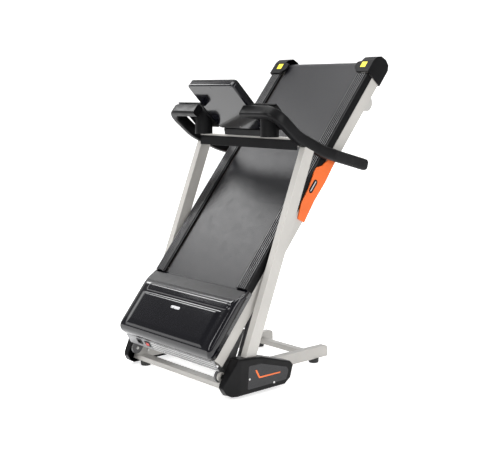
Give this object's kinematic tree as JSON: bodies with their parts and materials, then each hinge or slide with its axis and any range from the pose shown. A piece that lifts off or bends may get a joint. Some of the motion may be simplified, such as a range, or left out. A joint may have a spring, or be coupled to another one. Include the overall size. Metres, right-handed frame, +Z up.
{
  "type": "folding treadmill",
  "caption": "Folding treadmill standing folded: raised running deck, motor hood, leaning uprights, curved handlebars, console and floor frame.",
  "frame": {"origin": "on the floor, at the middle of the folded machine's box", "axes": "+Z up, +X to the user's left, +Y from the console towards the deck's rear end"},
  "size_m": [0.702, 0.9836, 1.2891],
  "materials": {
    "frame_paint": "satin warm-grey powder coat",
    "dark_steel": "dark grey powder coat",
    "zinc_steel": "zinc-plated steel",
    "roller_steel": "turned steel",
    "black_plastic": "satin moulded black plastic with a fine grain",
    "gloss_black": "polished black moulding",
    "rail_plastic": "ribbed dark grey extrusion",
    "belt": "fine diamond-textured running belt",
    "grey_plastic": "light grey moulded plastic",
    "foot_rubber": "moulded rubber",
    "foam": "closed-cell foam grip",
    "board": "waxed fibreboard with black edges",
    "motor_paint": "black enamel",
    "lens": "smoked clear acrylic",
    "circuit": "solder-masked circuit board",
    "button_grey": "soft-touch key",
    "accent_red": "red moulded plastic",
    "accent_orange": "orange printed accent",
    "drive_rubber": "ribbed drive belt"
  },
  "bodies": {
    "frame": {"front_crossbar": "frame_paint", "base_crossbars": "frame_paint", "base_tube_left": "frame_paint", "base_tube_right": "frame_paint", "base_plugs": "frame_paint", "upright_left": "frame_paint", "upright_right": "frame_paint", "upright_bolts": "zinc_steel", "levelling_feet": "foot_rubber", "foot_studs": "zinc_steel", "pivot_bolts": "zinc_steel", "side_cover_left": "black_plastic", "side_cover_right": "black_plastic", "head_crossbar": "frame_paint", "crossbar_cover": "black_plastic", "handlebar_left": "black_plastic", "handlebar_right": "black_plastic", "grip_left": "foam", "grip_right": "foam", "console_back": "black_plastic", "console_face": "black_plastic", "display_lens": "lens", "display_board": "circuit", "console_screws": "zinc_steel", "console_support": "black_plastic", "dash_panels": "black_plastic", "cup_holders": "black_plastic", "strut_pin": "zinc_steel"},
    "deck": {"deck_rail_left": "frame_paint", "deck_rail_right": "frame_paint", "deck_tubes": "frame_paint", "running_board": "board", "deck_cushions": "foot_rubber", "running_belt": "belt", "foot_rail_left": "rail_plastic", "foot_rail_right": "rail_plastic", "end_caps": "black_plastic", "rear_feet": "grey_plastic", "roller_axles": "zinc_steel", "tension_bolts": "zinc_steel", "motor_hood": "gloss_black", "motor_pan": "frame_paint", "drive_motor": "motor_paint", "motor_controller": "circuit", "drive_belt": "drive_rubber", "hinge_arms": "dark_steel", "switch_bezel": "black_plastic", "mains_inlet": "black_plastic"},
    "front_roller": {"front_roller": "roller_steel", "roller_pulley": "motor_paint"},
    "rear_roller": {"rear_roller": "roller_steel"},
    "motor_rotor": {"motor_flywheel_pulley": "roller_steel"},
    "power_rocker": {"power_rocker": "accent_red"},
    "strut_cylinder": {"strut_cylinder": "dark_steel"},
    "strut_rod": {"strut_rod": "zinc_steel"},
    "button_stop": {"button_stop": "accent_red"},
    "button_start": {"button_start": "accent_orange"},
    "button_slower": {"button_slower": "button_grey"},
    "button_faster": {"button_faster": "button_grey"},
    "safety_key": {"safety_key": "accent_red"}
  },
  "joints": [
    {"name": "deck_fold", "type": "hinge", "parent": "frame", "child": "deck", "pos_m": [0, -0.41645, 0.081], "axis": [-1, 0, 0], "range_deg": [0, 54.2]},
    {"name": "front_roller_spin", "type": "hinge", "parent": "deck", "child": "front_roller", "pos_m": [0, -0.29049, 0.34588], "axis": [1, 0, 0], "continuous": true},
    {"name": "rear_roller_spin", "type": "hinge", "parent": "deck", "child": "rear_roller", "pos_m": [0, 0.43038, 1.2329], "axis": [1, 0, 0], "continuous": true},
    {"name": "motor_spin", "type": "hinge", "parent": "deck", "child": "motor_rotor", "pos_m": [0.24, -0.40945, 0.21963], "axis": [1, 0, 0], "continuous": true},
    {"name": "power_rocker_tilt", "type": "hinge", "parent": "deck", "child": "power_rocker", "pos_m": [-0.148, -0.44248, 0.12959], "axis": [1, 0, 0], "range_deg": [0, 10]},
    {"name": "strut_swing", "type": "hinge", "parent": "frame", "child": "strut_cylinder", "pos_m": [0.24, -0.30845, 0.062], "axis": [-1, 0, 0], "range_deg": [0, 65.09]},
    {"name": "strut_stroke", "type": "slide", "parent": "strut_cylinder", "child": "strut_rod", "axis": [0, 0.3412, 0.94], "range_m": [-0.0744, 0]},
    {"name": "button_stop_press", "type": "slide", "parent": "frame", "child": "button_stop", "axis": [0, -0.7071, -0.7071], "range_m": [0, 0.0015], "stiffness_N_per_m": 600, "springref_m": -0.001},
    {"name": "button_slower_press", "type": "slide", "parent": "frame", "child": "button_slower", "axis": [0, -0.7071, -0.7071], "range_m": [0, 0.0015], "stiffness_N_per_m": 600, "springref_m": -0.001},
    {"name": "button_faster_press", "type": "slide", "parent": "frame", "child": "button_faster", "axis": [0, -0.7071, -0.7071], "range_m": [0, 0.0015], "stiffness_N_per_m": 600, "springref_m": -0.001},
    {"name": "button_start_press", "type": "slide", "parent": "frame", "child": "button_start", "axis": [0, -0.7071, -0.7071], "range_m": [0, 0.0015], "stiffness_N_per_m": 600, "springref_m": -0.001},
    {"name": "safety_key_pull", "type": "slide", "parent": "frame", "child": "safety_key", "axis": [0, 0.7071, 0.7071], "range_m": [0, 0.02]}
  ],
  "couplings": [
    {"joint": "rear_roller_spin", "follows": "front_roller_spin", "ratio": 1},
    {"joint": "motor_spin", "follows": "front_roller_spin", "ratio": 3},
    {"joint": "strut_swing", "follows": "deck_fold", "ratio": 1.1973},
    {"joint": "strut_stroke", "follows": "deck_fold", "m_per_rad": -0.07831}
  ]
}
